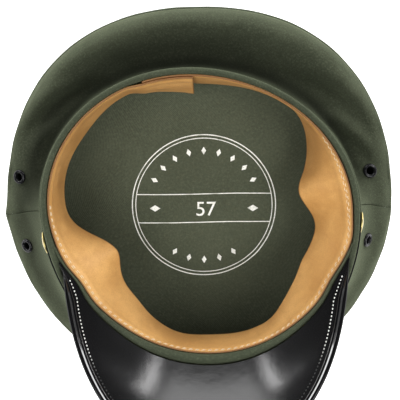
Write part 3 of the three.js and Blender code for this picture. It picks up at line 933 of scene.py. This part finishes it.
MARK_CENTRE = (2.6, -15.6)
MARK_TURN = math.radians(-0.8)
MARK_RINGS = ((48.3, 0.7), (46.0, 0.55))  # radius and width of each printed ring
DIAMOND_RING = 37.5
INK_LIFT = 0.12


def on_lining(x, y):
    """Places points of the flat mark on the lining's floor."""
    c, s = math.cos(MARK_TURN), math.sin(MARK_TURN)
    px = MARK_CENTRE[0] + x * c - y * s
    py = MARK_CENTRE[1] + SHIFT + x * s + y * c
    return stack(px, py, lining_floor(px, py) + INK_LIFT)


def ink_strip(path, width):
    """A printed line: quads along a flat path, as (verts, faces)."""
    path = np.asarray(path, float)
    d = unit(np.gradient(path, axis=0))
    side = np.stack([-d[:, 1], d[:, 0]], axis=1) * width / 2
    both = np.stack([path + side, path - side], axis=1).reshape(-1, 2)
    faces = [(2 * i, 2 * i + 1, 2 * i + 3, 2 * i + 2) for i in range(len(path) - 1)]
    return both, faces


def ink_number(text, size, centre):
    """Printed figures in Blender's own font, as (verts, faces)."""
    curve = bpy.data.curves.new("number", "FONT")
    curve.body, curve.size, curve.align_x, curve.align_y = text, size, "CENTER", "CENTER"
    obj = linked("number", curve)
    bpy.context.view_layer.update()
    mesh = obj.evaluated_get(bpy.context.evaluated_depsgraph_get()).to_mesh()
    verts = np.array([v.co[:2] for v in mesh.vertices]) + np.array(centre)
    faces = [tuple(p.vertices) for p in mesh.polygons]
    bpy.data.objects.remove(obj)
    bpy.data.curves.remove(curve)
    return verts, faces


def diamond(cx, cy, size, turn):
    c, s = math.cos(turn), math.sin(turn)
    pts = np.array([(size, 0), (0, size * 0.62), (-size, 0), (0, -size * 0.62)])
    return pts @ np.array([[c, s], [-s, c]]) + (cx, cy), [(0, 1, 2, 3)]


def lining_mark():
    """Rings, two lines, the size number, and diamonds where the photograph has words."""
    parts = []
    for radius, width in MARK_RINGS:
        t = np.linspace(0, 2 * math.pi, 241)
        parts.append(ink_strip(np.stack([radius * np.cos(t), radius * np.sin(t)], axis=1), width))
    for y in (8.0, -11.6):
        reach = math.sqrt(MARK_RINGS[1][0] ** 2 - y**2)
        x = np.linspace(-reach, reach, 60)
        parts.append(ink_strip(np.stack([x, y + 0.35 * np.sin(x / 21)], axis=1), 0.6))
    parts.append(ink_number("57", 14.0, (1.2, -2.9)))
    for t in np.radians([*np.linspace(28, 152, 9), *np.linspace(238, 302, 5)]):
        parts.append(diamond(DIAMOND_RING * math.cos(t), DIAMOND_RING * math.sin(t), 2.6, t))
    for x in (-33, 33):
        parts.append(diamond(x, -1.9, 3.6, 0.0))
    verts, faces = [], []
    for v, f in parts:
        base = sum(len(q) for q in verts)
        verts.append(v)
        faces += [tuple(base + k for k in q) for q in f]
    flat = np.concatenate(verts)
    obj = new_object("lining_size_mark", on_lining(flat[:, 0], flat[:, 1]), faces)
    obj.data.polygons.foreach_set("use_smooth", [False] * len(faces))
    if obj.data.polygons[0].normal.z < 0:
        obj.data.flip_normals()
    return dress(obj, INK, "lining_cloth")


lining_mark()

# ---- leather sweatband ----

LEATHER_WALL = 1.3
LEATHER_ARC = 1.65  # mm along the leather for each degree
LEATHER_START, LEATHER_END = LEATHER_FOLDS[0, 0], LEATHER_FOLDS[-1, 0]


def softened(table, spread):
    """The smooth curve of a table, blurred, as rows half a degree apart."""
    x = np.arange(table[0, 0] - 30, table[-1, 0] + 30.1, 0.5)
    y = smooth_table(table, np.clip(x, table[0, 0], table[-1, 0]))
    k = np.exp(-((np.arange(-24, 25) * 0.5 / spread) ** 2) / 2)
    return x, np.convolve(y, k / k.sum(), mode="same")


FOLD_X, FOLD_LEAN = softened(LEATHER_FOLDS, 2.2)


def leather_face(a, down):
    """The sweatband's inner face: angle along it, and 0 at the sewn edge to 1 at the free one."""
    lean = np.interp(a, FOLD_X, FOLD_LEAN)
    depth = np.sqrt(LEATHER_WIDTH**2 - lean**2)
    lifted = 1 - smoothstep(a, LEATHER_END - 360, LEATHER_END - 352)
    sewn_lift = mix(1.4, LEATHER_LIFT, smoothstep(down, 0, 0.5)) * lifted
    mm = down * LEATHER_WIDTH
    # a shallow groove under the double row of stitches, then a soft swell
    groove = 0.32 * bell(mm - 4.9, 1.5) - 0.4 * bell(mm - 8.8, 2.6)
    run = a * LEATHER_ARC
    ripple = 0.55 * waves(run, mm * 0.6, 70, 5, SEED + 11) * smoothstep(mm, 6, 24)
    r = leather_radius(a) - lean * down**1.25 - sewn_lift - LEATHER_WALL + groove + ripple
    edge_wave = 0.35 * waves(run, 0.0, 55, 5, SEED + 13) * smoothstep(down, 0.6, 1)
    return at_opening(a, r, -0.5 - depth * down + edge_wave)


def sweatband():
    angles = np.linspace(LEATHER_START, LEATHER_END, 620)
    down = np.array([
        0, 0.008, *np.linspace(0.02, 0.2, 11), *np.linspace(0.23, 0.94, 24), 0.96, 0.98, 0.992, 1
    ])
    a, d = grid(angles, down)
    face = leather_face(a, d)
    normal = grid_normals(face)
    inward = -stack(cosd(a), sind(a), 0.0)
    if (normal * inward).sum(axis=2).mean() < 0:
        normal = -normal
    thin = mix(1.0, 0.75, smoothstep(d, 0.9, 1.0)) * mix(0.6, 1.0, smoothstep(d, 0, 0.04))
    back = face - normal * LEATHER_WALL * thin[..., None]
    obj = loft("sweatband_leather", skin(face, back))
    # how close each point is to a cut edge, for its colour
    mm_down = np.concatenate([down, [1.0], down[::-1], [0.0]]) * LEATHER_WIDTH
    near = bell(LEATHER_WIDTH - mm_down, 0.5) + bell(mm_down, 0.45)
    ends = bell((angles - LEATHER_START) * LEATHER_ARC, 0.7)
    note(obj, "edge", np.clip(near[None, :] + ends[:, None], 0, 1))
    return dress(obj, LEATHER, "leather", "sweatband")


sweatband()


def leather_stitches(name, mm_down):
    angles = np.linspace(178, 390, 900)
    down = np.array([mm_down - 0.5, mm_down, mm_down + 0.5]) / LEATHER_WIDTH
    a, d = grid(angles, down)
    p = leather_face(a, d)
    n = grid_normals(p)[:, 1]
    inward = -stack(cosd(angles), sind(angles), 0.0)
    n *= np.sign((n * inward).sum(axis=1, keepdims=True))
    obj = thread_row(name, p[:, 1], n, length=3.1, width=0.5, gap=0.9, lift=0.12)
    return dress(obj, CREAM_THREAD, "leather")


leather_stitches("sweatband_stitches_upper", 3.9)
leather_stitches("sweatband_stitches_lower", 5.7)

# ---- peak, its binding and its stitches ----

def peak_line(angles):
    """For each angle: the inner corner, the way out to the rim, and the width between them."""
    inner_r = roll_radius(angles) + 0.15
    inner = np.stack([inner_r * cosd(angles), inner_r * sind(angles)], axis=1)
    out = inner - np.array([PEAK_OVAL["x"], PEAK_OVAL["y"]])
    reach = np.linalg.norm(out, axis=1)
    out = out / reach[:, None]
    power = PEAK_OVAL["power"]
    rim = ((np.abs(out[:, 0]) / PEAK_OVAL["side"]) ** power
           + (np.abs(out[:, 1]) / PEAK_OVAL["front"]) ** power) ** (-1 / power)
    from_end = np.minimum(angles - PEAK_ANGLES[0], PEAK_ANGLES[1] - angles)
    width = np.maximum(rim - reach, mix(1.1, PEAK_HORN, smoothstep(from_end, 0, 9)))
    return inner, out, width


def on_peak(angles, out_mm, height):
    """Points above or below the peak's lower face, out_mm from the band's edge."""
    inner, out, width = peak_line(np.asarray(angles, float))
    out_mm = np.asarray(out_mm, float)
    if out_mm.ndim == 1:
        out_mm = out_mm[:, None]
    xy = inner[:, None, :] + out[:, None, :] * out_mm[..., None]
    # the leather bows up a little between the band and the rim
    width = width[:, None]
    part = np.clip(out_mm / np.maximum(width, 1), 0, 1)
    bow = 1.6 * np.sin(math.pi * part) * smoothstep(width, 12, 40)
    return in_opening(xy[..., 0], xy[..., 1], 0.3 + PEAK_SLOPE * out_mm + bow + height)


PEAK_WALL = 2.2
PEAK_FOOT = -5.3  # how deep the peak's inner edge is held
BINDING_WIDTH = 5.4


def binding_width(width):
    return np.minimum(BINDING_WIDTH, width * 0.5)


def peak_shell():
    angles = np.linspace(*PEAK_ANGLES, 260)
    _, _, width = peak_line(angles)
    room = band_radius(angles, 0) - band_wall(angles) - roll_radius(angles) - 0.35
    flange = np.clip(room, 0.4, PEAK_WALL)
    reach = width - binding_width(width) - 0.1
    steps = np.linspace(0, 1, 26)
    top = on_peak(angles, mix(0.0, reach[:, None], steps[None, :]), PEAK_WALL)
    low = on_peak(angles, mix(flange[:, None], reach[:, None], steps[None, :]), 0.0)
    foot_in = on_peak(angles, np.zeros((len(angles), 1)), PEAK_FOOT)
    foot_out = on_peak(angles, flange[:, None], PEAK_FOOT - PEAK_SLOPE * flange[:, None])
    sections = np.concatenate([foot_in, top, low[:, ::-1], foot_out], axis=1)
    return dress(loft("peak_shell", sections, sharp=50), PATENT_PEAK, "patent", "peak")


peak_shell()


def peak_binding():
    angles = np.linspace(*PEAK_ANGLES, 300)
    _, _, width = peak_line(angles)
    bind = binding_width(width)
    # rows: part of the binding's width from its inner edge, and height above the peak's lower face
    part, high = np.array([
        (0.00, 2.45), (0.05, 2.75), (0.12, 2.85), (0.22, 2.80), (0.28, 2.62), (0.34, 2.72),
        (0.46, 3.20), (0.60, 3.42), (0.74, 3.30), (0.86, 2.80), (0.95, 2.05), (1.00, 1.10),
        (0.97, 0.20), (0.88, -0.45), (0.72, -0.85), (0.50, -0.90), (0.28, -0.75), (0.10, -0.60),
        (0.02, -0.40), (0.00, -0.10),
    ]).T
    out = (width - bind)[:, None] + bind[:, None] * part
    small = np.clip(bind / BINDING_WIDTH, 0.55, 1)[:, None]
    h = mix(1.1, high, mix(0.75, 1.0, small))
    obj = loft("peak_rim_binding", on_peak(angles, out, h))
    return dress(obj, PATENT_EDGE, "patent", "peak_binding")


peak_binding()


def peak_stitches():
    angles = np.linspace(*PEAK_ANGLES, 1000)
    _, _, width = peak_line(angles)
    angles = angles[width > 5.2]
    _, _, width = peak_line(angles)
    inset = np.minimum(mix(6.8, 7.7, smoothstep(angles, 240, 300)), width * 0.66)
    out = np.stack([width - inset, width - inset - 1], axis=1)
    p, q = on_peak(angles, out, PEAK_WALL + 0.05).swapaxes(0, 1)
    n = unit(np.cross(np.gradient(p, axis=0), p - q))
    n *= np.sign(n[:, 2:3])
    obj = thread_row("peak_stitches", p, n, length=1.5, width=0.78, gap=0.8)
    return dress(obj, PEAK_THREAD, "patent")


peak_stitches()

# ---- chin strap, buttons and eyelets ----

STRAP_ANGLES = (190.5, 354.5)
STRAP_WIDTH = 13
STRAP_ARC = 1.75  # mm along the strap for each degree


def chin_strap():
    angles = np.linspace(*STRAP_ANGLES, 320)
    start, end = STRAP_ANGLES
    part = (angles - start) / (end - start)
    top = -6.5 + 4.5 * np.minimum(1, np.sin(math.pi * part) * 1.6)
    run = np.minimum(part, 1 - part) * (end - start) * STRAP_ARC
    # the strap's ends are round
    short = 1 - np.clip((run + 0.4) / 5.5, 0, 1)
    half = STRAP_WIDTH / 2 * np.sqrt(np.clip(1 - short**2, 0.02, 1))
    # part of the half width from the middle, and distance from the band
    across, proud = np.array([
        (-0.96, 0.2), (-1.0, 0.55), (-0.96, 0.85), (-0.86, 1.02), (-0.78, 0.94), (-0.6, 1.0),
        (0, 1.1), (0.6, 1.0), (0.78, 0.94), (0.86, 1.02), (0.96, 0.85), (1.0, 0.55), (0.96, 0.2),
        (0.6, 0.15), (0, 0.15), (-0.6, 0.15),
    ]).T
    h = (top - STRAP_WIDTH / 2)[:, None] - half[:, None] * across
    a = angles[:, None]
    p = at_opening(a, band_radius(a, h) + proud, h)
    return dress(loft("chin_strap_leather", p), PATENT_STRAP, "patent", "chin_strap")


chin_strap()


def side_button(node, angle, height):
    seat = band_radius(angle, height) - 0.2
    base = at_opening(angle, seat, height)
    place = placed_on(base, at_opening(angle, seat + 1, height) - base)
    profile = [
        (0, 0), (6.1, 0), (6.7, 0.15), (7.0, 0.5), (7.05, 0.85), (6.9, 1.15), (6.55, 1.3),
        (6.25, 1.2), (6.05, 1.26), (5.6, 1.45), (4.8, 1.75), (3.6, 2.08), (2.2, 2.3), (1.0, 2.39),
        (0, 2.4),
    ]
    return dress(lathe(f"brass_{node}", profile, place), BRASS, "brass", node)


for key, (angle, height) in BUTTONS.items():
    side_button(key, angle, height)


def eyelet(node, angle, across):
    place = placed_on(*surface_point(angle, across))
    profile = [
        (2.3, -1.5), (2.8, -1.5), (2.8, 0.1), (4.3, 0.1), (4.75, 0.35), (4.8, 0.75), (4.65, 1.2),
        (4.2, 1.6), (3.6, 1.75), (3.05, 1.6), (2.6, 1.1), (2.35, 0.3), (2.3, -1.5),
    ]
    return dress(lathe(f"enamel_{node}", profile, place, 40), ENAMEL, "black_metal", node)


for key, (angle, across) in EYELETS.items():
    eyelet(key, angle, across)

# ---- floor, lights and camera, in metres ----

SWEEP_RADIUS = 3.4
SWEEP_HEIGHT = 0.75
SWEEP_CURVE = 0.5
FLOOR_DROP = 0.2  # mm under the cap
FLOOR_GLOW = 0.9


def studio_sweep():
    """Pale paper: a round floor that curves up into a low wall on every side."""
    flat = SWEEP_RADIUS - SWEEP_CURVE
    profile = [(1.0, 0), (flat, 0)]
    for b in np.radians(np.linspace(0, 90, 9))[1:]:
        profile.append((flat + SWEEP_CURVE * math.sin(b), SWEEP_CURVE * (1 - math.cos(b))))
    profile.append((SWEEP_RADIUS, SWEEP_HEIGHT))
    points = revolved(np.array(profile) / MM, turns_of(96))
    n, m = points.shape[:2]
    verts = np.vstack([points.reshape(-1, 3), [[0, 0, 0]]]) - (0, 0, FLOOR_DROP)
    faces = []
    for i in range(n):
        a, b = i * m, (i + 1) % n * m
        faces.append((a, b, n * m))
        faces += [(a + j, a + j + 1, b + j + 1, b + j) for j in range(m - 1)]
    obj = new_object("floor", verts, faces)
    n = Nodes("floor_paper")
    colour = n.mixed(n.noise(300, 3.0), rgb(0.88, 0.88, 0.88), rgb(0.92, 0.92, 0.92))
    paper = n.finish(
        Base_Color=colour, Roughness=0.9, Specular_IOR_Level=0.1,
        Emission_Color=rgb(1, 1, 1), Emission_Strength=FLOOR_GLOW,
    )
    obj.data.materials.append(paper)


studio_sweep()


def area_light(name, azimuth, elevation, distance, size, power):
    """A soft white light on a dome round the cap, aimed at it."""
    light = bpy.data.lights.new(name, "AREA")
    light.shape, light.energy = "RECTANGLE", power
    light.size, light.size_y = size
    obj = linked(name, light)
    a, e = math.radians(azimuth), math.radians(elevation)
    aim = Vector((0, 0, 0.05))
    way = Vector((math.cos(e) * math.cos(a), math.cos(e) * math.sin(a), math.sin(e)))
    obj.location = aim + distance * way
    obj.rotation_mode = "QUATERNION"
    obj.rotation_quaternion = (aim - obj.location).to_track_quat("-Z", "Y")
    obj.visible_camera = False


LIGHTS = (
    # name, azimuth, elevation, distance, size in metres, power in watts
    ("right_softbox", 0, 62, 1.6, (0.7, 0.7), 13.2),
    ("left_softbox", 180, 62, 1.6, (0.7, 0.7), 10.1),
    ("front_left_softbox", 240, 62, 1.6, (0.6, 0.6), 6.6),
    ("front_right_softbox", 300, 62, 1.6, (0.6, 0.6), 4.4),
    ("back_low_right", 42, 6, 1.6, (0.6, 0.22), 9.0),
    ("back_low_left", 138, 6, 1.6, (0.6, 0.22), 9.0),
    ("back_softbox", 90, 30, 1.6, (0.8, 0.42), 5.4),
    ("strip_left", 112, 25.5, 1.5, (0.08, 0.3), 1.35),
    ("strip_right", 68, 25.5, 1.5, (0.09, 0.3), 1.5),
)
for row in LIGHTS:
    area_light(*row)

WORLD_GLOW = 0.07
world = bpy.data.worlds.new("studio")
bpy.context.scene.world = world
world.use_nodes = True
background = world.node_tree.nodes["Background"]
background.inputs["Color"].default_value = rgb(1, 1, 1)
background.inputs["Strength"].default_value = WORLD_GLOW

CAMERA_TARGET = Vector((0, SHIFT * MM, 0.062))
CAMERA_DISTANCE = 0.8
CAMERA_TILT = math.radians(12)
CAMERA_ROLL = math.radians(1.1)
CAMERA_LENS = 114.34  # mm, on a 36 mm sensor


def camera():
    """Looks down at the cap, tilted toward its back and rolled a little."""
    data = bpy.data.cameras.new("camera")
    data.lens, data.sensor_width = CAMERA_LENS, 36
    data.clip_start, data.clip_end = 0.05, 50
    obj = linked("camera", data)
    turn = Matrix.Rotation(-CAMERA_TILT, 4, "X") @ Matrix.Rotation(-CAMERA_ROLL, 4, "Z")
    away = Matrix.Translation((0, 0, CAMERA_DISTANCE))
    obj.matrix_world = Matrix.Translation(CAMERA_TARGET) @ turn @ away
    bpy.context.scene.camera = obj


camera()
bpy.context.scene.view_settings.view_transform = "Standard"
